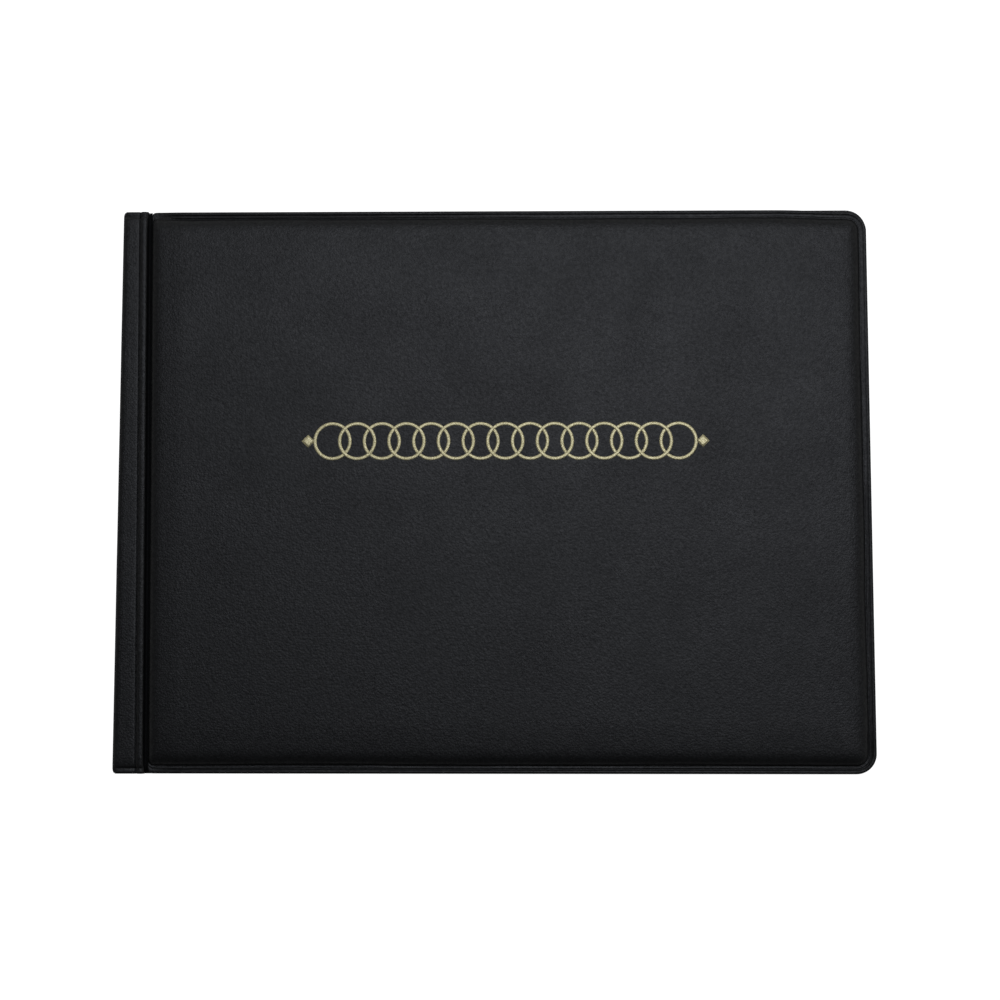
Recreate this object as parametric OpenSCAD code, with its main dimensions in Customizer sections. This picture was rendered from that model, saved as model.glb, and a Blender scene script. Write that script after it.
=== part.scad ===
// Padded coin album with ten pocket pages, lying closed on its back cover.
// +X runs from the spine to the free edge, +Y to the head of the album, +Z up.
// Origin: middle of the footprint, on the table. Sizes are in mm.

/* [Album] */
// width from the spine to the free edge
album_w = 260; // [234:1:286]
// height along the spine
album_h = 195; // [175:1:215]
// thickness of the closed album
album_t = 20; // [19:0.5:24]
// radius of the free corners of the covers
corner_r = 7; // [4:0.5:10]

/* [Covers] */
// greyboard in each cover
board_t = 2; // [1.5:0.1:2.5]
// foam under the skin at the middle of each cover
foam_t = 1.4; // [1:0.1:2]
// leatherette skin
skin_t = 0.5; // [0.4:0.1:0.8]
// lining inside each cover
lining_t = 0.4; // [0.3:0.1:0.6]
// width of the welded flange round the three free sides
flange_w = 2.4; // [1.5:0.1:4]
// thickness of the welded flange above the lining
flange_t = 1.2; // [0.8:0.1:1.6]
// width of the padded roll on the three free sides
roll_w = 6.5; // [4:0.5:10]
// width of the padded roll beside the gutter
gutter_roll_w = 5; // [3:0.5:8]

/* [Spine] */
// distance from the outer face of the spine to the cover hinges
hinge_x = 10.7; // [9:0.1:13]
// depth of the hinge lines below the crown of each cover
hinge_drop = 0.9; // [0.8:0.1:1.4]
// how far the flat spine strips lie below the crown
strip_drop = 1.6; // [1.2:0.1:2.4]
// height of the weld ridge above the strip
ridge_h = 0.5; // [0.3:0.1:0.8]
// width of the weld ridge
ridge_w = 1.6; // [1:0.1:2.2]
// rounding of the two long outer edges of the spine
spine_r = 1.5; // [0.8:0.1:2]
// skin of the spine
spine_skin_t = 0.6; // [0.4:0.1:1]
// welded ends of the spine skin
spine_end = 2.6; // [1:0.1:3.5]

/* [Pages] */
// height of each page
page_h = 183; // [170:1:190]
// gap from the free edge of the covers to the free edge of the pages
page_inset = 6; // [4:0.5:12]
// radius of the free corners of the pages
page_r = 3; // [1:0.5:6]
// backing sheet
sheet_t = 0.25; // [0.15:0.05:0.4]
// pocket layer, film and pocket space together
pocket_t = 0.7; // [0.5:0.05:0.9]
// clear film
film_t = 0.15; // [0.1:0.05:0.25]
// space kept between the pages and the linings
page_gap = 0.2; // [0.1:0.05:0.4]
// distance from the spine to the bend line of the outermost pages
bend_x = 17.5; // [16:0.5:22]
// how much further out the next page inside bends
bend_step = 1.2; // [1:0.1:1.6]
// distance from the spine to the first pocket weld
pocket_x = 24; // [23:0.5:30]
// pocket columns on a page
pocket_cols = 6; // [4:1:8]
// pocket rows on a page
pocket_rows = 4; // [3:1:6]
// width of the welds between pockets
weld_w = 2; // [1.5:0.1:3]
// height of each pocket mouth
mouth_h = 1.6; // [1:0.1:3]

/* [Ornament] */
// height of the ring band above the middle of the cover
ornament_y = 16; // [-40:1:60]
// outer radius of each ring
ring_r = 6.6; // [4:0.2:9]
// width of the foil line
ring_w = 1.1; // [0.6:0.1:1.4]
// spacing of the rings
ring_step = 8.5; // [7:0.5:10]
// number of rings
ring_n = 15; // [5:1:19]
// foil thickness
foil_t = 0.1; // [0.05:0.05:0.2]

/* [Hidden] */
e = 0.01;
page_n = 10;
roll_steps = 6;
xs = -album_w / 2;
xe = album_w / 2;
hh = album_h / 2;
cover_t = lining_t + board_t + foam_t + skin_t;
z_in = album_t - cover_t;
z_board = z_in + lining_t;
z_foam = z_board + board_t;
z_flange = z_board + flange_t;
roll_h = album_t - z_flange;
x_cover = xs + hinge_x + 0.5;
z_strip = album_t - strip_drop;
x_strip = xs + hinge_x - 0.5;
x_block0 = xs + spine_skin_t + board_t;
x_block1 = x_strip - ridge_w - 0.4;
block_h = hh - spine_end;
page_t = sheet_t + pocket_t;
page_pitch = (z_in - cover_t - 2 * page_gap) / page_n;
page_x1 = xe - page_inset;
pocket_w = (page_x1 - 2 - xs - pocket_x) / pocket_cols;
pocket_h = (page_h - 7) / pocket_rows;

function page_z(k) = z_in - page_gap - k * page_pitch + (page_pitch - page_t) / 2;
function bend(k) = xs + bend_x + bend_step * min(k - 1, page_n - k);

// ---- shared shapes ----

// block between two corners
module block(x0, x1, y0, y1, z0, z1) {
    translate([x0, y0, z0])
        cube([x1 - x0, y1 - y0, z1 - z0]);
}

// flat sheet with rounded corners at its free edge
module sheet(x0, x1, half, r, z0, z1) {
    translate([0, 0, z0])
        linear_extrude(height = z1 - z0)
            union() {
                translate([x0, -half])
                    square([x1 - r - x0, 2 * half]);
                translate([x1 - r - e, -(half - r)])
                    square([r + e, 2 * (half - r)]);
                for (s = [-1, 1])
                    translate([x1 - r, s * (half - r)])
                        circle(r = r, $fn = 64);
            }
}

// turns a piece of the front half over to the back half
module at_back() {
    translate([0, 0, album_t])
        rotate([180, 0, 0])
            children();
}

// half outline of a padded roll: t is how far inside the outer face it lies
function roll(u0, w, t, top) = [
    for (i = [0:roll_steps])
        [u0 + t + (w - t) * (1 - cos(90 * i / roll_steps)),
         z_flange + (top - t) * sin(90 * i / roll_steps)]
];
function flip(points, at) = [
    for (i = [len(points) - 1:-1:0])
        [at - points[i][0], points[i][1]]
];

// padded panel, t inside its outer face, from the level z0 up
module panel(t, z0) {
    across = concat([[x_cover + 0.5 + t, z0]], roll(x_cover + 0.5, gutter_roll_w, t, roll_h),
                    flip(roll(flange_w, roll_w, t, roll_h), xe), [[xe - flange_w - t, z0]]);
    along = concat([[-hh + flange_w + t, z0]], roll(-hh + flange_w, roll_w, t, roll_h),
                   flip(roll(flange_w, roll_w, t, roll_h), hh), [[hh - flange_w - t, z0]]);
    intersection() {
        translate([0, hh, 0])
            rotate([90, 0, 0])
                linear_extrude(height = 2 * hh)
                    polygon(across);
        translate([xs, 0, 0])
            rotate([90, 0, 90])
                linear_extrude(height = album_w)
                    polygon(along);
        sheet(x_cover, xe - flange_w - t, hh - flange_w - t, corner_r - flange_w - t,
              z0, album_t + 1);
    }
}

// ---- cover pieces ----

module cover_board() {
    sheet(x_cover + 2.2, xe - flange_w - 1.6, hh - flange_w - 1.6, corner_r - flange_w - 0.9,
          z_board, z_foam);
}

module cover_foam() {
    intersection() {
        panel(skin_t, z_flange);
        block(x_cover, xe, -hh, hh, z_foam, album_t);
    }
}

module cover_skin() {
    difference() {
        union() {
            sheet(x_cover, xe, hh, corner_r, z_board, z_flange);
            panel(0, z_board + 0.2);
        }
        cover_board();
        cover_foam();
    }
}

module cover_lining() {
    sheet(x_cover, xe, hh, corner_r, z_in, z_board);
}

module front_skin() {
    color([0.12, 0.12, 0.13]) cover_skin();
}

module front_foam() {
    color([0.85, 0.85, 0.8]) cover_foam();
}

module front_board() {
    color([0.6, 0.58, 0.54]) cover_board();
}

module front_lining() {
    color([0.16, 0.16, 0.17]) cover_lining();
}

module back_skin() {
    color([0.12, 0.12, 0.13]) at_back() cover_skin();
}

module back_foam() {
    color([0.85, 0.85, 0.8]) at_back() cover_foam();
}

module back_board() {
    color([0.6, 0.58, 0.54]) at_back() cover_board();
}

module back_lining() {
    color([0.16, 0.16, 0.17]) at_back() cover_lining();
}

// interlaced row of foil rings with a lozenge at each end
module cover_ornament() {
    half = (ring_n - 1) * ring_step / 2;
    color([0.8, 0.75, 0.5])
        translate([(hinge_x - flange_w) / 2, ornament_y, album_t])
            linear_extrude(height = foil_t)
                union() {
                    for (i = [0:ring_n - 1])
                        translate([i * ring_step - half, 0])
                            difference() {
                                circle(r = ring_r, $fn = 48);
                                circle(r = ring_r - ring_w, $fn = 48);
                            }
                    for (s = [-1, 1])
                        translate([s * (half + ring_r + 1.8), 0])
                            rotate([0, 0, 45])
                                square([3.2, 3.2], center = true);
                }
}

// ---- spine ----

// leatherette wrapped round the spine, welded shut at head and tail
module spine_skin() {
    z0 = strip_drop;
    z1 = z_strip;
    color([0.12, 0.12, 0.13])
        difference() {
            union() {
                block(xs + spine_r, x_strip, -hh, hh, z0, z1);
                block(xs, x_strip, -hh, hh, z0 + spine_r, z1 - spine_r);
                for (z = [z0 + spine_r, z1 - spine_r])
                    translate([xs + spine_r, hh, z])
                        rotate([90, 0, 0])
                            cylinder(r = spine_r, h = 2 * hh, $fn = 48);
                block(x_strip - ridge_w, x_strip, -hh, hh, z0 - ridge_h, z1 + ridge_h);
            }
            block(xs + spine_skin_t, x_block1, -block_h, block_h,
                  z0 + spine_skin_t, z1 - spine_skin_t);
            block(x_block1 - e, x_strip + 1, -block_h, block_h, cover_t, z_in);
        }
}

module spine_board() {
    color([0.6, 0.58, 0.54])
        block(xs + spine_skin_t, x_block0, -block_h, block_h,
              strip_drop + spine_skin_t, z_strip - spine_skin_t);
}

module strip_board() {
    block(x_block0, x_block1, -block_h, block_h, z_in, z_strip - spine_skin_t);
}

module front_strip_board() {
    color([0.6, 0.58, 0.54]) strip_board();
}

module back_strip_board() {
    color([0.6, 0.58, 0.54]) at_back() strip_board();
}

// page margins welded together between the two strips
module binding_block() {
    color([0.2, 0.2, 0.21])
        block(x_block0, x_block1, -block_h, block_h, cover_t, z_in);
}

// soft film from the weld ridge towards the cover
module gutter_film() {
    block(x_strip, x_cover - 0.2, -hh, hh, z_in + 0.6, z_in + 1.1);
}

module front_gutter_film() {
    color([0.12, 0.12, 0.13]) gutter_film();
}

module back_gutter_film() {
    color([0.12, 0.12, 0.13]) at_back() gutter_film();
}

// ---- pages ----

// margin of page k between the welded block and its bend line
module stub(k) {
    color([0.1, 0.1, 0.11])
        block(x_block1, bend(k) - 0.3, -page_h / 2, page_h / 2,
              page_z(k), page_z(k) + sheet_t);
}

// backing sheet of page k
module page_sheet(k) {
    color([0.1, 0.1, 0.11])
        sheet(bend(k) + 0.3, page_x1, page_h / 2, page_r, page_z(k), page_z(k) + sheet_t);
}

// clear pocket layer of page k: a film on welds, with one mouth to each pocket
module page_pockets(k) {
    z0 = page_z(k) + sheet_t;
    x0 = xs + pocket_x;
    y0 = -pocket_rows * pocket_h / 2;
    color([0.8, 0.85, 0.88, 0.35])
        difference() {
            sheet(x0 - 1, page_x1, page_h / 2, page_r, z0, z0 + pocket_t);
            for (c = [0:pocket_cols - 1])
                for (r = [0:pocket_rows - 1])
                    translate([x0 + c * pocket_w, y0 + r * pocket_h, z0]) {
                        block(weld_w / 2, pocket_w - weld_w / 2,
                              weld_w / 2, pocket_h - weld_w / 2, -1, pocket_t - film_t);
                        block(weld_w, pocket_w - weld_w, pocket_h - weld_w - mouth_h,
                              pocket_h - weld_w, 0, pocket_t + 1);
                    }
        }
}

module page_01_stub() {
    stub(1);
}

module page_02_stub() {
    stub(2);
}

module page_03_stub() {
    stub(3);
}

module page_04_stub() {
    stub(4);
}

module page_05_stub() {
    stub(5);
}

module page_06_stub() {
    stub(6);
}

module page_07_stub() {
    stub(7);
}

module page_08_stub() {
    stub(8);
}

module page_09_stub() {
    stub(9);
}

module page_10_stub() {
    stub(10);
}

module page_01_sheet() {
    page_sheet(1);
}

module page_02_sheet() {
    page_sheet(2);
}

module page_03_sheet() {
    page_sheet(3);
}

module page_04_sheet() {
    page_sheet(4);
}

module page_05_sheet() {
    page_sheet(5);
}

module page_06_sheet() {
    page_sheet(6);
}

module page_07_sheet() {
    page_sheet(7);
}

module page_08_sheet() {
    page_sheet(8);
}

module page_09_sheet() {
    page_sheet(9);
}

module page_10_sheet() {
    page_sheet(10);
}

module page_01_pockets() {
    page_pockets(1);
}

module page_02_pockets() {
    page_pockets(2);
}

module page_03_pockets() {
    page_pockets(3);
}

module page_04_pockets() {
    page_pockets(4);
}

module page_05_pockets() {
    page_pockets(5);
}

module page_06_pockets() {
    page_pockets(6);
}

module page_07_pockets() {
    page_pockets(7);
}

module page_08_pockets() {
    page_pockets(8);
}

module page_09_pockets() {
    page_pockets(9);
}

module page_10_pockets() {
    page_pockets(10);
}

front_skin();
front_foam();
front_board();
front_lining();
cover_ornament();
back_skin();
back_foam();
back_board();
back_lining();
spine_skin();
spine_board();
front_strip_board();
back_strip_board();
binding_block();
front_gutter_film();
back_gutter_film();
page_01_stub();
page_02_stub();
page_03_stub();
page_04_stub();
page_05_stub();
page_06_stub();
page_07_stub();
page_08_stub();
page_09_stub();
page_10_stub();
page_01_sheet();
page_02_sheet();
page_03_sheet();
page_04_sheet();
page_05_sheet();
page_06_sheet();
page_07_sheet();
page_08_sheet();
page_09_sheet();
page_10_sheet();
page_01_pockets();
page_02_pockets();
page_03_pockets();
page_04_pockets();
page_05_pockets();
page_06_pockets();
page_07_pockets();
page_08_pockets();
page_09_pockets();
page_10_pockets();
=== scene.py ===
import math
import bmesh
import bpy
from mathutils import Matrix, Vector, noise
from mathutils.bvhtree import BVHTree


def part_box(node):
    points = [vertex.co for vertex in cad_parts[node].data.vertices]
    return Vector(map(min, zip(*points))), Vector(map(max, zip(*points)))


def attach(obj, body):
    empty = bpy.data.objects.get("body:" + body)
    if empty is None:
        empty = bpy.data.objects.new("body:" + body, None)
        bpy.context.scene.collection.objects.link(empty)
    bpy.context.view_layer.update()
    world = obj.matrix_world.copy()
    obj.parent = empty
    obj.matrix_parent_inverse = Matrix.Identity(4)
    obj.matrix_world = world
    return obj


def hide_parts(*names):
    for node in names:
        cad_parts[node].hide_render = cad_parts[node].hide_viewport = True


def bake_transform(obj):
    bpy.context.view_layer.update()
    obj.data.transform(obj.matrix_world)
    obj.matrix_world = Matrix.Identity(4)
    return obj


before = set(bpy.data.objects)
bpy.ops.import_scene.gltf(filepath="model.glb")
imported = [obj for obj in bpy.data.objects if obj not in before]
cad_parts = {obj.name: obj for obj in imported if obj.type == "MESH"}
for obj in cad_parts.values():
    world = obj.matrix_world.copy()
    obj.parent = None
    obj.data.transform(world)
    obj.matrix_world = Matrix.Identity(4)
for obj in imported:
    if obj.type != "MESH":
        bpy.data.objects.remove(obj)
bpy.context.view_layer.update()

# All working sizes are in mm, in the album's own frame; MM turns them into metres at the end.
MM = 0.001
SPINE = -130.0              # outer face of the spine
FREE = 130.0                # free edge of the covers
HEAD = 97.5                 # head edge; the tail edge is at -HEAD
TOP = 20.0                  # outer face of the front cover; the back cover's is at 0
LEAN = 1.1                  # how far the seam, ridge and gutter stray at each end
PANEL_EDGE = 11.0           # from the spine's face to the gutter side of the cover
CORNER = 7.0                # radius of the two free corners
GUTTER_CORNER = 1.6         # radius of the two corners at the gutter
PANEL_CELLS = (112, 86)     # grid of the padded panel
SPINE_STRAIGHT = 94.2       # half the length of spine between its welded ends
SPINE_CELLS = 62
SPINE_MOUTH = 94.88         # beyond this the spine skin is closed
PAGES = ["page_%02d" % k for k in range(1, 11)]


# ------------------------------------------------------------------ small helpers

def clamp(v, low, high):
    return max(low, min(high, v))


def smooth(v, low, high):
    t = clamp((v - low) / (high - low), 0.0, 1.0)
    return t * t * (3 - 2 * t)


def wave(x, y, size, seed):
    """Gentle unevenness from -1 to 1, with lumps of about that size in mm."""
    return noise.noise(Vector((x / size + seed * 7.3, y / size - seed * 3.1, seed * 1.7)))


def srgb(code):
    """A colour written as a hex code, as linear red, green, blue and 1."""
    parts = [int(code[i:i + 2], 16) / 255 for i in (0, 2, 4)]
    return [p / 12.92 if p <= 0.04045 else ((p + 0.055) / 1.055) ** 2.4 for p in parts] + [1.0]


def lean(y):
    """How far the seam, ridge and gutter stray to the right at this height of the album."""
    return -LEAN * y / HEAD


def extruded(bm, edges):
    """Extrudes open edges once, and gives the new points and the edges between them."""
    made = bmesh.ops.extrude_edge_only(bm, edges=edges)["geom"]
    points = [g for g in made if isinstance(g, bmesh.types.BMVert)]
    fresh = set(points)
    return points, [g for g in made if isinstance(g, bmesh.types.BMEdge) and set(g.verts) <= fresh]


def finished(bm, name, material, body=None, flat=False):
    """Turns a bmesh in mm into a shaded piece in metres that rides on a body."""
    bmesh.ops.recalc_face_normals(bm, faces=bm.faces)
    bmesh.ops.scale(bm, vec=(MM, MM, MM), verts=bm.verts)
    mesh = bpy.data.meshes.new(name)
    bm.to_mesh(mesh)
    bm.free()
    for p in mesh.polygons:
        p.use_smooth = not flat
    piece = bpy.data.objects.new(name, mesh)
    bpy.context.scene.collection.objects.link(piece)
    mesh.materials.append(material)
    if body:
        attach(piece, body)
    return piece


# ------------------------------------------------------------------ finishes

def new_finish(name):
    material = bpy.data.materials.new(name)
    material.use_nodes = True
    tree = material.node_tree
    return material, tree, tree.nodes["Principled BSDF"]


def add(tree, kind, settings=None, **inputs):
    """Adds a node, with its settings, its fixed values and its links."""
    node = tree.nodes.new("ShaderNode" + kind)
    for key, value in (settings or {}).items():
        setattr(node, key, value)
    for key, value in inputs.items():
        numbered = key[0] == "i" and key[1:].isdigit()
        socket = node.inputs[int(key[1:]) if numbered else key.replace("_", " ")]
        if isinstance(value, bpy.types.NodeSocket):
            tree.links.new(value, socket)
        else:
            socket.default_value = value
    return node


def per_mm(size):
    """Texture scale that gives features of this size in mm on Object coordinates."""
    return 1.0 / (size * MM)


def carry(tree, shader, pattern, tones, span, rough, strength, depth):
    """Lets one pattern carry the two tones, the roughness and the relief of a finish.

    span is the part of the pattern's range that takes it from one tone to the other, rough is one
    value or two, and depth is the relief in metres.
    """
    tone = add(tree, "MapRange", Value=pattern, From_Min=span[0], From_Max=span[1])
    shade = add(tree, "Mix", {"data_type": "RGBA"}, Factor=tone.outputs["Result"],
                i6=srgb(tones[0]), i7=srgb(tones[1]))
    tree.links.new(shade.outputs[2], shader.inputs["Base Color"])
    if len(rough) == 1:
        shader.inputs["Roughness"].default_value = rough[0]
    else:
        sheen = add(tree, "MapRange", Value=pattern, From_Min=0.3, From_Max=0.7,
                    To_Min=rough[0], To_Max=rough[1])
        tree.links.new(sheen.outputs["Result"], shader.inputs["Roughness"])
    bump = add(tree, "Bump", Height=pattern, Strength=strength, Distance=depth)
    tree.links.new(bump.outputs["Normal"], shader.inputs["Normal"])


def leatherette():
    """Black PVC leatherette, embossed: a fine pebbled grain over soft, broad unevenness, semi-matte.

    The real pebble is nearer 0.5 mm and its pores finer; both are drawn as coarse as they need to show.
    """
    material, tree, shader = new_finish("black_leatherette")
    place = add(tree, "TexCoord").outputs["Object"]
    pebble = add(tree, "TexVoronoi", Vector=place, Scale=per_mm(0.75), Randomness=0.9).outputs["Distance"]
    pores = add(tree, "TexNoise", Vector=place, Scale=per_mm(0.4), Detail=3.0).outputs["Fac"]
    broad = add(tree, "TexNoise", Vector=place, Scale=per_mm(22.0), Detail=2.0).outputs["Fac"]
    tone = add(tree, "MapRange", Value=pebble, From_Min=0.15, From_Max=0.75)
    shade = add(tree, "Mix", {"data_type": "RGBA"}, Factor=tone.outputs["Result"],
                i6=srgb("0E0F10"), i7=srgb("090A0B"))
    tree.links.new(shade.outputs[2], shader.inputs["Base Color"])
    fine_sheen = add(tree, "MapRange", Value=pores, From_Min=0.3, From_Max=0.7, To_Min=0.39, To_Max=0.55)
    broad_sheen = add(tree, "MapRange", Value=broad, From_Min=0.3, From_Max=0.7, To_Min=-0.03, To_Max=0.03)
    rough = add(tree, "Math", {"operation": "ADD"},
                i0=fine_sheen.outputs["Result"], i1=broad_sheen.outputs["Result"])
    tree.links.new(rough.outputs[0], shader.inputs["Roughness"])
    grain = add(tree, "Bump", {"invert": True}, Height=pebble, Strength=0.42, Distance=0.00014)
    fine = add(tree, "Bump", Height=pores, Strength=0.22, Distance=0.00006, Normal=grain.outputs["Normal"])
    tree.links.new(fine.outputs["Normal"], shader.inputs["Normal"])
    shader.inputs["IOR"].default_value = 1.48
    # The calender leaves the film a little glossier in some spots than in others.
    spots = add(tree, "TexNoise", Vector=place, Scale=per_mm(1.2), Detail=4.0, Roughness=0.7)
    mottle = add(tree, "MapRange", Value=spots.outputs["Fac"],
                 From_Min=0.36, From_Max=0.64, To_Min=0.40, To_Max=0.60)
    tree.links.new(mottle.outputs["Result"], shader.inputs["Specular IOR Level"])
    return material


def gutter_film():
    """Thin black PVC in the gutters, pressed matt by the weld tool."""
    material, tree, shader = new_finish("matte_gutter_film")
    place = add(tree, "TexCoord").outputs["Object"]
    press = add(tree, "TexNoise", Vector=place, Scale=per_mm(0.9), Detail=3.0).outputs["Fac"]
    carry(tree, shader, press, ("0B0C0D", "070708"), (0.3, 0.7), (0.68, 0.8), 0.3, 0.00008)
    shader.inputs["Specular IOR Level"].default_value = 0.15
    return material


def smooth_lining():
    """Inside lining: thin calendered black PVC with a faint brushed texture along the cover."""
    material, tree, shader = new_finish("matte_lining_sheet")
    place = add(tree, "TexCoord").outputs["Object"]
    stretch = add(tree, "Mapping", Vector=place, Scale=(1.0, 0.12, 1.0)).outputs["Vector"]
    thread = add(tree, "TexNoise", Vector=stretch, Scale=per_mm(0.8), Detail=4.0).outputs["Fac"]
    carry(tree, shader, thread, ("232427", "1B1C1E"), (0.3, 0.7), (0.5, 0.62), 0.2, 0.00005)
    return material


def page_plastic():
    """Page backing: thin calendered black PVC, matte with a faint orange-peel surface."""
    material, tree, shader = new_finish("black_page_sheet")
    place = add(tree, "TexCoord").outputs["Object"]
    peel = add(tree, "TexNoise", Vector=place, Scale=per_mm(1.6), Detail=3.0).outputs["Fac"]
    carry(tree, shader, peel, ("1D1E21", "161719"), (0.3, 0.7), (0.4, 0.52), 0.25, 0.00008)
    return material


def clear_film():
    """Pocket film: clear soft PVC, cast glossy, with slight ripples and a thin haze."""
    material, tree, shader = new_finish("clear_pocket_film")
    place = add(tree, "TexCoord").outputs["Object"]
    ripple = add(tree, "TexNoise", Vector=place, Scale=per_mm(14.0), Detail=2.0).outputs["Fac"]
    haze = add(tree, "TexNoise", Vector=place, Scale=per_mm(3.0), Detail=4.0).outputs["Fac"]
    rough = add(tree, "MapRange", Value=haze, From_Min=0.35, From_Max=0.7, To_Min=0.06, To_Max=0.16)
    tree.links.new(rough.outputs["Result"], shader.inputs["Roughness"])
    bump = add(tree, "Bump", Height=ripple, Strength=0.35, Distance=0.0008)
    tree.links.new(bump.outputs["Normal"], shader.inputs["Normal"])
    shader.inputs["Base Color"].default_value = srgb("F2F5F6")
    shader.inputs["Transmission Weight"].default_value = 0.96
    shader.inputs["IOR"].default_value = 1.3
    return material


def gold_foil():
    """Hot-stamped pale gold foil: a soft metal sheen, speckled by the grain under it."""
    material, tree, shader = new_finish("pale_gold_foil")
    place = add(tree, "TexCoord").outputs["Object"]
    speck = add(tree, "TexNoise", Vector=place, Scale=per_mm(0.45), Detail=3.0).outputs["Fac"]
    carry(tree, shader, speck, ("F3E9BC", "D2C792"), (0.38, 0.66), (0.3, 0.5), 0.3, 0.00006)
    shader.inputs["Metallic"].default_value = 0.55
    return material


def pad_foam():
    """Off-white open-cell polyurethane foam: dull, with small open cells."""
    material, tree, shader = new_finish("offwhite_foam")
    place = add(tree, "TexCoord").outputs["Object"]
    cells = add(tree, "TexVoronoi", Vector=place, Scale=per_mm(0.7)).outputs["Distance"]
    shade = add(tree, "Mix", {"data_type": "RGBA"}, Factor=cells, i6=srgb("D8D6CC"), i7=srgb("F0EEE6"))
    tree.links.new(shade.outputs[2], shader.inputs["Base Color"])
    shader.inputs["Roughness"].default_value = 0.95
    bump = add(tree, "Bump", Height=cells, Strength=0.6, Distance=0.0002)
    tree.links.new(bump.outputs["Normal"], shader.inputs["Normal"])
    return material


def greyboard():
    """Bookbinding greyboard: pressed recycled fibre, dull and faintly flecked."""
    material, tree, shader = new_finish("binders_greyboard")
    place = add(tree, "TexCoord").outputs["Object"]
    fibre = add(tree, "TexNoise", Vector=place, Scale=per_mm(0.9), Detail=5.0).outputs["Fac"]
    carry(tree, shader, fibre, ("A49F97", "8C8780"), (0.35, 0.65), (0.9,), 0.4, 0.0001)
    return material


LEATHERETTE = leatherette()
GUTTER_FILM = gutter_film()
LINING = smooth_lining()
PAGE = page_plastic()
FILM = clear_film()
GOLD = gold_foil()
FOAM = pad_foam()
BOARD = greyboard()


# ------------------------------------------------------------------ padded covers

# Rings from the flat middle out to the rim and under it: inset from the rim on the three free
# sides, inset on the gutter side, height.
ROLL = [(10.0, 5.4, 20.00), (8.4, 4.2, 19.98), (7.0, 3.2, 19.90), (5.9, 2.35, 19.74),
        (5.0, 1.7, 19.48), (4.3, 1.2, 19.14), (3.75, 0.82, 18.72), (3.35, 0.58, 18.25),
        (3.1, 0.42, 17.8), (2.95, 0.34, 17.42), (2.8, 0.31, 17.22), (2.6, 0.3, 17.16)]
FLANGE = [(2.4, 0.28, 17.28), (2.1, 0.26, 17.42), (1.85, 0.24, 17.36), (1.65, 0.22, 17.22),
          (1.45, 0.2, 17.30), (1.15, 0.17, 17.52), (0.8, 0.12, 17.60), (0.45, 0.07, 17.54),
          (0.18, 0.03, 17.32), (0.04, 0.0, 17.0), (0.0, 0.0, 16.6), (0.08, 0.02, 16.3), (0.3, 0.1, 16.14)]
UNDER = [(1.6, 0.5, 16.12), (3.1, 1.1, 16.12), (3.25, 1.3, 16.2), (3.26, 1.32, 17.9), (3.4, 1.45, 18.12)]


def rim_point(su, sv, inset, gutter_inset, rounded=True):
    """A point on the rounded outline at this inset, for a place on the edge of the unit square."""
    right = FREE - inset
    half = HEAD - inset
    y = sv * half
    left = SPINE + PANEL_EDGE + gutter_inset
    x = left + (right - left) * (su + 1) / 2
    curve = max(CORNER - inset, GUTTER_CORNER)
    for cx, cy, r in ((right, half, curve), (right, -half, curve),
                      (left, half, GUTTER_CORNER), (left, -half, GUTTER_CORNER)):
        dx, dy = abs(cx - x), abs(cy - y)
        if rounded and dx < r and dy < r:
            turn = math.radians(45 * (1 - dy / r) if dx < dy else 45 + 45 * dx / r)
            sx, sy = (1 if cx > 0 else -1), (1 if cy > 0 else -1)
            x = cx - sx * r + sx * r * math.cos(turn)
            y = cy - sy * r + sy * r * math.sin(turn)
            break
    # The head edge droops a little towards its free corner, and the gutter side leans.
    y -= 0.6 * smooth(x, 98, 124) * smooth(y, 60, 95)
    near_gutter = 1 - smooth(x, SPINE + PANEL_EDGE, SPINE + 45)
    return x + lean(y) * near_gutter, y


def crown(x, y, seed):
    """Height of the padded panel: a very slight pillow, falling to its edges, and broad unevenness."""
    across = clamp((x - SPINE - 14) / 232, 0, 1)
    along = clamp((y + 88) / 176, 0, 1)
    inside = 0 < across < 1 and 0 < along < 1
    pillow = (math.sin(math.pi * across) * math.sin(math.pi * along)) ** 0.5 if inside else 0.0
    to_free = min(FREE - x, HEAD - abs(y))
    fall = 0.42 * (1 - smooth(x, SPINE + 11.5, SPINE + 23)) + 0.36 * (1 - smooth(to_free, 3, 18))
    return TOP - fall + 0.22 * pillow + 0.10 * wave(x, y, 55, seed) + 0.05 * wave(x, y, 21, seed + 3)


def ring_height(stage, z, inset, x, y, free_side, seed):
    """Height of a ring's point: the roll follows the panel, and the weld is pressed lower at the tail."""
    h = z
    at_tail = smooth(-y, 82, 93)
    if stage == "roll":
        share = smooth(z, 17.2, 20.0)
        h = z + (crown(x, y, seed) - TOP) * share + 0.09 * wave(x, y, 16, seed + 8) * (1 - share)
        h -= 0.6 * at_tail * (1 - smooth(z, 17.1, 18.8))
    elif stage == "flange" and z > 17.1:
        # The second bead fades in along the head.
        second = smooth(x, -60, 20) if y > 0 else 0.5
        if 1.5 < inset < 2.5:
            h = z - 0.16 * (second - 0.5) * (1 if inset > 1.7 else -1)
        h -= (0.6 if 1.3 < inset < 2.5 else 0.28) * at_tail
        h += 0.06 * wave(x, y, 22, seed + 9)
    if stage == "flange" and z > 16.7:
        h -= 0.9 * (h - 16.7) * (1 - free_side)
    return h


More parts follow.
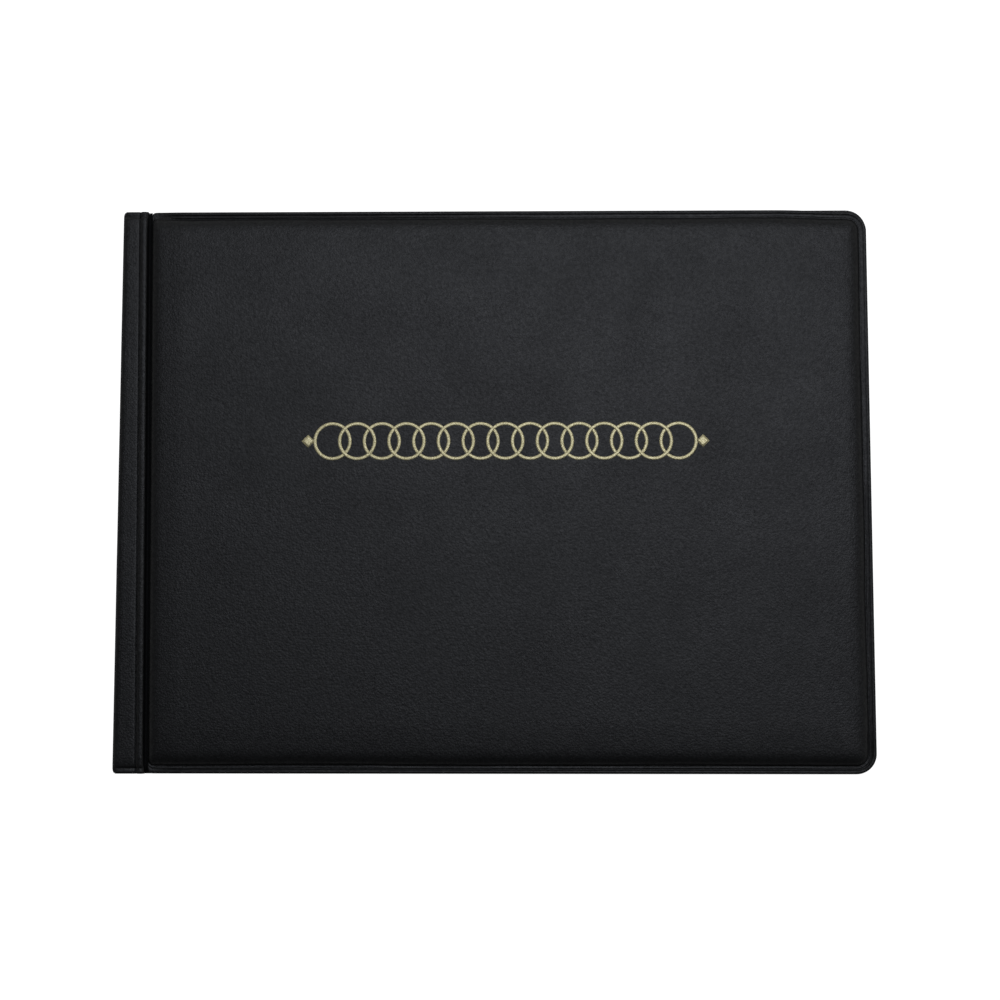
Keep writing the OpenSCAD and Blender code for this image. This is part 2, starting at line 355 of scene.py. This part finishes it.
def cover_shape(seed):
    """The skin of one cover, front cover up: pillow, rolled edge, weld line, bead and underside."""
    bm = bmesh.new()
    su = bm.verts.layers.float.new("su")
    sv = bm.verts.layers.float.new("sv")
    bmesh.ops.create_grid(bm, x_segments=PANEL_CELLS[0], y_segments=PANEL_CELLS[1], size=1.0)
    for v in bm.verts:
        # Cells are closer together near the edges.
        ease = [c + 0.55 * math.sin(math.pi * c) / math.pi for c in (v.co.x, v.co.y)]
        x, y = rim_point(ease[0], ease[1], ROLL[0][0], ROLL[0][1], v.is_boundary)
        v.co = (x, y, crown(x, y, seed))
        v[su], v[sv] = ease
    for stage, rings in (("roll", ROLL[1:]), ("flange", FLANGE), ("under", UNDER)):
        for inset, gutter, z in rings:
            for v in extruded(bm, [e for e in bm.edges if e.is_boundary])[0]:
                x, y = rim_point(v[su], v[sv], inset, gutter)
                free_side = smooth(x, SPINE + 12, SPINE + 20)
                stray = 0.0
                if stage != "under":
                    stray = 0.30 * wave(x, y, 34, seed + 5) + 0.12 * wave(x, y, 9, seed + 6)
                    stray = stray * smooth(inset, 0.6, 2.4) * free_side
                x, y = rim_point(v[su], v[sv], inset + stray, gutter)
                v.co = (x, y, ring_height(stage, z, inset, x, y, free_side, seed))
    bmesh.ops.holes_fill(bm, edges=[e for e in bm.edges if e.is_boundary], sides=0)
    return bm


def to_back(bm):
    """Turns a front piece over to the back half of the album."""
    bmesh.ops.scale(bm, vec=(1, 1, -1), verts=bm.verts)
    bmesh.ops.translate(bm, vec=(0, 0, TOP), verts=bm.verts)
    for v in bm.verts:
        v.co.z = max(v.co.z, 0.02)
    return bm


front_pad = finished(cover_shape(1), "front_padded_skin", LEATHERETTE, "front_cover")
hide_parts("front_skin", "front_foam")
back_pad = finished(to_back(cover_shape(2)), "back_padded_skin", LEATHERETTE, "back_cover")
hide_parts("back_skin", "back_foam")


# ------------------------------------------------------------------ spine

# Half section of the spine skin from the middle of its outer face to the foot of the weld ridge,
# as distance from the spine's outer face and height.
SPINE_OUT = [(0.0, 10.0), (0.0, 13.0), (0.0, 15.6), (0.04, 16.6), (0.22, 17.35), (0.62, 17.92),
             (1.15, 18.26), (1.9, 18.42), (3.2, 18.44), (5.0, 18.43), (6.4, 18.42), (6.85, 18.37),
             (7.05, 18.2), (7.17, 17.98), (7.28, 17.92), (7.38, 18.04), (7.5, 18.36), (7.75, 18.66),
             (8.15, 18.79), (9.0, 18.82), (9.5, 18.7), (9.82, 18.3), (9.94, 17.7), (9.97, 16.9),
             (9.97, 16.1), (9.95, 15.74)]
SPINE_IN = [(8.42, 15.72), (8.38, 17.3), (8.2, 17.78), (0.64, 17.78), (0.62, 10.0)]
# Places along the spine at its tail end: distance along, how far the weld presses the faces down,
# how far the outer corner is rounded off.
STATIONS = [(-97.5, 0.9, 1.5), (-97.42, 0.62, 0.95), (-97.2, 0.5, 0.5), (-96.8, 0.44, 0.22),
            (-96.2, 0.46, 0.06), (-95.8, 0.58, 0.0), (-95.55, 0.6, 0.0), (-95.3, 0.38, 0.0),
            (-94.9, 0.12, 0.0), (-94.86, 0.11, 0.0), (-SPINE_STRAIGHT, 0.0, 0.0)]


def spine_shape():
    """The spine skin: one section drawn out from tail to head, pressed down where its ends are welded."""
    half = SPINE_OUT + SPINE_IN
    section = half + [(x, TOP - z) for x, z in reversed(half)][1:-1]
    count = len(section)
    middle = [-SPINE_STRAIGHT + 2 * SPINE_STRAIGHT * i / SPINE_CELLS for i in range(1, SPINE_CELLS)]
    stations = STATIONS + [(y, 0.0, 0.0) for y in middle]
    stations += [(-y, drop, tuck) for y, drop, tuck in reversed(STATIONS)]
    bm = bmesh.new()
    rank = bm.verts.layers.int.new("rank")
    loop = [bm.verts.new((x, 0, z)) for x, z in section]
    for i in range(count):
        bm.edges.new((loop[i], loop[(i + 1) % count]))
    for i, v in enumerate(loop):
        v[rank] = i
    current = list(bm.edges)
    rows = [loop]
    for _ in stations[1:]:
        row, current = extruded(bm, current)
        rows.append(row)
    for row, (y, drop, tuck) in zip(rows, stations):
        for v in row:
            x, z = section[v[rank]]
            outer = x < 0.6 or abs(z - 10) > 7.85
            inner = v[rank] - len(SPINE_OUT)
            if abs(y) > SPINE_MOUTH and 0 <= inner < 2 * len(SPINE_IN) - 1:
                # Beyond the mouth the inner faces close on the plane of its edge.
                x, z = 9.95, 14.8 - 1.2 * inner
            front = 1 if z > 10 else -1
            if outer and abs(z - 10) > 5.8 and x < 9.9:
                z -= front * drop * smooth(x, 0.0, 1.2)
            if outer:
                x += tuck if x < 1.0 else 0.0
                z += front * 0.05 * wave(x * 3, y, 30, 4 + front) * smooth(x, 1.0, 3.0)
            if x < 0.1:
                x -= 0.12 * math.cos((z - 10) / 6.5 * math.pi / 2) + 0.06 * wave(z, y, 26, 9)
            x += lean(y) * smooth(x, 3.5, 7.6)
            v.co = (SPINE + x, y, clamp(z, 0.9, 19.1))
    for row in (rows[0], rows[-1]):
        ends = [e for e in bm.edges if e.is_boundary and set(e.verts) <= set(row)]
        bmesh.ops.contextual_create(bm, geom=sorted(row, key=lambda v: v[rank]) + ends)
    return bm


spine_wrap = finished(spine_shape(), "spine_wrap", LEATHERETTE, "spine")
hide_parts("spine_skin")


# ------------------------------------------------------------------ gutters and page margins

def strip_shape(profile, thick, half, steps, leaning, seed):
    """A thin strip that follows a profile across the album and runs along the spine."""
    bm = bmesh.new()
    row = [bm.verts.new((SPINE + x, -half, z)) for x, z in profile]
    edges = [bm.edges.new((row[i], row[i + 1])) for i in range(len(row) - 1)]
    for _ in range(steps):
        row, edges = extruded(bm, edges)
        bmesh.ops.translate(bm, vec=(0, 2 * half / steps, 0), verts=row)
    for v in bm.verts:
        if leaning:
            v.co.x += lean(v.co.y)
            v.co.z += 0.08 * wave(v.co.x, v.co.y, 14, seed)
    bmesh.ops.recalc_face_normals(bm, faces=bm.faces)
    if sum(f.normal.z for f in bm.faces) < 0:
        bmesh.ops.reverse_faces(bm, faces=bm.faces)
    bmesh.ops.solidify(bm, geom=list(bm.faces), thickness=thick)
    return bm


# Section of the gutter film, as distance from the spine's outer face and height.
GUTTER = [(9.62, 17.9), (9.9, 17.5), (10.06, 17.15), (10.24, 16.92), (10.45, 16.84), (10.7, 16.88),
          (10.92, 17.0), (11.12, 17.2)]
GUTTER_THICK, GUTTER_HALF = 0.35, 97.2
FOLD_HEIGHT = 17.0                      # height of the front hinge line
MARGIN_THICK, MARGIN_HALF = 0.25, 91.5
MARGIN_FOOT = [8.25, 9.6, 11.2, 13.0]   # where each page margin is divided before its bend

for side, name, other in ((1, "front_gutter_fold", "front_cover"), (-1, "back_gutter_fold", "back_cover")):
    shape = strip_shape(GUTTER, GUTTER_THICK, GUTTER_HALF, 64, True, 12 + side)
    if side < 0:
        to_back(shape)
    fold = finished(shape, name, GUTTER_FILM)
    height = (FOLD_HEIGHT if side > 0 else TOP - FOLD_HEIGHT) * MM
    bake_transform(fold)
    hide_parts("front_gutter_film" if side > 0 else "back_gutter_film")

for k, page in enumerate(PAGES):
    low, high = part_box(page + "_stub")
    bend = high[0] / MM + 0.3 - SPINE
    z = high[2] / MM
    steps = sorted(MARGIN_FOOT + [bend - 1.5 + 0.3 * i for i in range(7)])
    profile = [(x, z) for x in steps if x <= bend + 0.31]
    margin = finished(strip_shape(profile, MARGIN_THICK, MARGIN_HALF, 12, False, 20 + k), page + "_margin", PAGE)
    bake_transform(margin)
    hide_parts(page + "_stub")


# ------------------------------------------------------------------ foil band on the front cover

RINGS, RING_PITCH = 15, 8.5
RING_STROKE = (0.945, 0.89, 0.834)      # shares of the radius, from the outer edge of the line inwards
LOZENGE, LOZENGE_GAP = 1.6, 1.8
FOIL_LIFT, FOIL_THICK = 0.035, 0.03


def foil_shape(surface):
    """Interlaced rings between two lozenges, laid on the padded panel."""
    low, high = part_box("cover_ornament")
    middle = (Vector(low) + Vector(high)) / 2 / MM
    radius = (high[1] - low[1]) / 2 / MM
    bm = bmesh.new()
    for i in range(RINGS):
        spot = middle.x + (i - (RINGS - 1) / 2) * RING_PITCH
        rim = bmesh.ops.create_circle(bm, cap_ends=False, segments=64, radius=radius)["verts"]
        edges = [e for e in bm.edges if e.verts[0] in rim and e.verts[1] in rim]
        every = list(rim)
        for share in RING_STROKE:
            rim, edges = extruded(bm, edges)
            for v in rim:
                v.co.xy = v.co.xy.normalized() * radius * share
            every += rim
        # Every other ring lies a little higher, where two cross.
        bmesh.ops.translate(bm, vec=(spot, middle.y, 0.02 * (i % 2)), verts=every)
    for side in (-1, 1):
        spot = middle.x + side * ((RINGS - 1) / 2 * RING_PITCH + radius + LOZENGE_GAP)
        turn = Matrix.Translation((spot, middle.y, 0)) @ Matrix.Rotation(math.radians(45), 4, "Z")
        bmesh.ops.create_grid(bm, x_segments=4, y_segments=4, size=LOZENGE, matrix=turn)
    for v in bm.verts:
        hit = surface.ray_cast(Vector((v.co.x, v.co.y, 2 * TOP)) * MM, Vector((0, 0, -1)))[0]
        v.co.z += hit.z / MM + FOIL_LIFT
    for f in bm.faces:
        f.normal_update()
        if f.normal.z < 0:
            f.normal_flip()
    bmesh.ops.solidify(bm, geom=list(bm.faces), thickness=FOIL_THICK)
    return bm


bpy.context.view_layer.update()
surface = BVHTree.FromObject(front_pad, bpy.context.evaluated_depsgraph_get())
foil = finished(foil_shape(surface), "foil_ring_band", GOLD, "front_cover")
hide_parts("cover_ornament")


# ------------------------------------------------------------------ finishes on the remaining CAD nodes

CAD_FINISH = {"front_lining": LINING, "back_lining": LINING, "front_foam": FOAM, "back_foam": FOAM,
              "front_board": BOARD, "back_board": BOARD, "spine_board": BOARD,
              "front_strip_board": BOARD, "back_strip_board": BOARD, "binding_block": PAGE}
for page in PAGES:
    CAD_FINISH[page + "_sheet"] = PAGE
    CAD_FINISH[page + "_pockets"] = FILM
for name, material in CAD_FINISH.items():
    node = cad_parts[name]
    for held in node.material_slots:
        held.material = material
    if not node.material_slots:
        node.data.materials.append(material)


# ------------------------------------------------------------------ floor, light and camera

TABLE_HALF, TABLE_DROP = 4000, 0.0002


def floor():
    """A plain white table just under the album, bright to the camera and dim in reflections."""
    bm = bmesh.new()
    bmesh.ops.create_grid(bm, x_segments=1, y_segments=1, size=TABLE_HALF)
    material, tree, shader = new_finish("white_table")
    shader.inputs["Base Color"].default_value = srgb("A6A6A6")
    shader.inputs["Roughness"].default_value = 0.8
    shader.inputs["Emission Color"].default_value = srgb("FFFFFF")
    direct = add(tree, "LightPath").outputs["Is Camera Ray"]
    glow = add(tree, "MapRange", Value=direct, To_Min=0.12, To_Max=1.0)
    tree.links.new(glow.outputs["Result"], shader.inputs["Emission Strength"])
    piece = finished(bm, "table", material, flat=True)
    piece.location = (0, 0, -TABLE_DROP)


def softbox(name, spot, aim, size, power, tint="FFFFFF"):
    """A rectangular lamp at one spot, turned to another."""
    data = bpy.data.lights.new(name, "AREA")
    data.shape = "RECTANGLE"
    data.size, data.size_y = size
    data.energy = power
    data.color = srgb(tint)[:3]
    lamp = bpy.data.objects.new(name, data)
    bpy.context.scene.collection.objects.link(lamp)
    lamp.location = spot
    lamp.rotation_euler = (Vector(aim) - Vector(spot)).to_track_quat("-Z", "Y").to_euler()


floor()
softbox("overhead_softbox", (0.16, 0.42, 1.35), (0.02, 0.02, 0), (1.25, 0.95), 6.6, "F1F5FF")
softbox("head_strip", (0.25, 1.5, 0.75), (0, 0, 0), (1.4, 0.35), 0.3)
softbox("right_strip", (1.3, 0.15, 0.8), (0, 0, 0), (0.35, 1.0), 0.25)

world = bpy.data.worlds.new("studio")
bpy.context.scene.world = world
world.use_nodes = True
room = world.node_tree
room.nodes["Background"].inputs["Color"].default_value = srgb("FFFFFF")
# A pale studio: brighter low down than overhead, and dimmer on the tail side.
axes = add(room, "SeparateXYZ", Vector=add(room, "TexCoord").outputs["Generated"])
height = add(room, "MapRange", Value=axes.outputs["Z"], From_Min=0.0, From_Max=0.8, To_Min=0.48, To_Max=0.02)
side = add(room, "MapRange", Value=axes.outputs["Y"], From_Min=-0.9, From_Max=0.1, To_Min=0.14, To_Max=1.0)
glow = add(room, "Math", {"operation": "MULTIPLY"}, i0=height.outputs["Result"], i1=side.outputs["Result"])
seen = add(room, "Math", {"operation": "MAXIMUM"}, i0=glow.outputs[0],
           i1=add(room, "LightPath").outputs["Is Camera Ray"])
room.links.new(seen.outputs[0], room.nodes["Background"].inputs["Strength"])
bpy.context.scene.view_settings.view_transform = "Standard"

# The camera looks almost straight down, tipped a little towards the tail, and slightly off centre.
SENSOR, FOCAL = 36, 56.9
CAMERA_HEIGHT = 0.5619
CAMERA_AIM = (0.00204, -0.00261, 0)
CAMERA_TIP, CAMERA_ROLL = math.radians(5), 0.0145

lens = bpy.data.cameras.new("camera")
lens.sensor_width = SENSOR
lens.lens = FOCAL
camera = bpy.data.objects.new("camera", lens)
bpy.context.scene.collection.objects.link(camera)
look = Matrix.Rotation(CAMERA_ROLL, 4, "Y") @ Matrix.Rotation(CAMERA_TIP, 4, "X")
camera.matrix_world = Matrix.Translation(CAMERA_AIM) @ look @ Matrix.Translation((0, 0, CAMERA_HEIGHT))
bpy.context.scene.camera = camera
